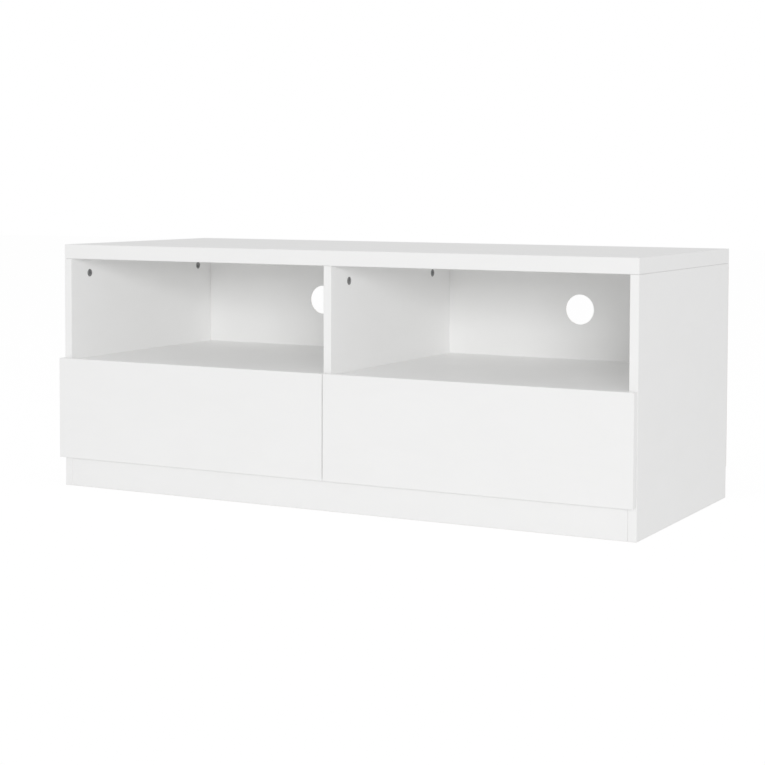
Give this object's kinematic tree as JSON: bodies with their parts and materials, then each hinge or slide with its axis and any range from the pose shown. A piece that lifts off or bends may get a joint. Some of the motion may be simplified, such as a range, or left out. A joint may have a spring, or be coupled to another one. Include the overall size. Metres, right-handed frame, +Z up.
{
  "type": "television stand with drop-down doors",
  "caption": "Low white television stand: open compartments with cable holes over handle-less drop-down doors on a plinth.",
  "frame": {"origin": "on the floor, under the middle of the whole stand's box, doors closed", "axes": "+X to the stand's right as seen from the front, doors face -Y, +Z up"},
  "size_m": [1.2, 0.519, 0.48],
  "materials": {
    "white_board": "white satin melamine-faced board",
    "white_back": "white painted hardboard, matt",
    "dark_zinc": "dark grey die-cast zinc",
    "bright_steel": "zinc-plated steel",
    "nickel": "nickel-plated steel",
    "grey_plastic": "grey moulded plastic",
    "white_plastic": "white moulded plastic"
  },
  "bodies": {
    "carcass": {"top_panel": "white_board", "side_panel_left": "white_board", "side_panel_right": "white_board", "divider_panel": "white_board", "shelf_left": "white_board", "shelf_right": "white_board", "bottom_panel": "white_board", "plinth_front": "white_board", "plinth_rear": "white_board", "plinth_brace": "white_board", "back_panel_left": "white_back", "hinge_arm_left_inner": "nickel", "hinge_mount_left_inner": "nickel", "hinge_arm_left_outer": "nickel", "hinge_mount_left_outer": "nickel", "stay_base_left": "nickel", "latch_housing_left": "white_plastic", "back_panel_right": "white_back", "hinge_arm_right_inner": "nickel", "hinge_mount_right_inner": "nickel", "hinge_arm_right_outer": "nickel", "hinge_mount_right_outer": "nickel", "stay_base_right": "nickel", "latch_housing_right": "white_plastic", "cam_lock_left_front": "dark_zinc", "cam_bolt_left_front": "bright_steel", "cam_lock_left_rear": "dark_zinc", "cam_bolt_left_rear": "bright_steel", "cam_lock_divider_front": "dark_zinc", "cam_bolt_divider_front": "bright_steel", "cam_lock_divider_rear": "dark_zinc", "cam_bolt_divider_rear": "bright_steel", "cam_lock_right_front": "dark_zinc", "cam_bolt_right_front": "bright_steel", "cam_lock_right_rear": "dark_zinc", "cam_bolt_right_rear": "bright_steel"},
    "door_left": {"door_left": "white_board", "hinge_cup_left_inner": "nickel", "hinge_cup_left_outer": "nickel", "hinge_pin_left_inner": "bright_steel", "hinge_pin_left_outer": "bright_steel", "stay_bracket_left": "nickel", "latch_strike_left": "bright_steel"},
    "stay_rod_left": {"stay_rod_left": "bright_steel"},
    "stay_guide_left": {"stay_guide_left": "grey_plastic"},
    "latch_plunger_left": {"latch_plunger_left": "grey_plastic"},
    "door_right": {"door_right": "white_board", "hinge_cup_right_inner": "nickel", "hinge_cup_right_outer": "nickel", "hinge_pin_right_inner": "bright_steel", "hinge_pin_right_outer": "bright_steel", "stay_bracket_right": "nickel", "latch_strike_right": "bright_steel"},
    "stay_rod_right": {"stay_rod_right": "bright_steel"},
    "stay_guide_right": {"stay_guide_right": "grey_plastic"},
    "latch_plunger_right": {"latch_plunger_right": "grey_plastic"}
  },
  "joints": [
    {"name": "door_left_hinge", "type": "hinge", "parent": "carcass", "child": "door_left", "pos_m": [-0.296, -0.252, 0.06591], "axis": [1, 0, 0], "range_deg": [0, 90]},
    {"name": "stay_rod_left_pivot", "type": "hinge", "parent": "door_left", "child": "stay_rod_left", "pos_m": [-0.574, -0.2285, 0.17141], "axis": [1, 0, 0], "range_deg": [-45, 0]},
    {"name": "stay_guide_left_swivel", "type": "hinge", "parent": "carcass", "child": "stay_guide_left", "pos_m": [-0.574, -0.20126, 0.16134], "axis": [1, 0, 0], "range_deg": [0, 45]},
    {"name": "latch_plunger_left_press", "type": "slide", "parent": "carcass", "child": "latch_plunger_left", "axis": [0, 1, 0], "range_m": [0, 0.003], "stiffness_N_per_m": 300, "springref_m": -0.004},
    {"name": "door_right_hinge", "type": "hinge", "parent": "carcass", "child": "door_right", "pos_m": [0.296, -0.252, 0.06591], "axis": [1, 0, 0], "range_deg": [0, 90]},
    {"name": "stay_rod_right_pivot", "type": "hinge", "parent": "door_right", "child": "stay_rod_right", "pos_m": [0.574, -0.2285, 0.17141], "axis": [1, 0, 0], "range_deg": [-45, 0]},
    {"name": "stay_guide_right_swivel", "type": "hinge", "parent": "carcass", "child": "stay_guide_right", "pos_m": [0.574, -0.20126, 0.16134], "axis": [1, 0, 0], "range_deg": [0, 45]},
    {"name": "latch_plunger_right_press", "type": "slide", "parent": "carcass", "child": "latch_plunger_right", "axis": [0, 1, 0], "range_m": [0, 0.003], "stiffness_N_per_m": 300, "springref_m": -0.004}
  ],
  "couplings": [
    {"joint": "stay_rod_left_pivot", "follows": "door_left_hinge", "ratio": -0.5},
    {"joint": "stay_guide_left_swivel", "follows": "door_left_hinge", "ratio": 0.5},
    {"joint": "stay_rod_right_pivot", "follows": "door_right_hinge", "ratio": -0.5},
    {"joint": "stay_guide_right_swivel", "follows": "door_right_hinge", "ratio": 0.5}
  ]
}
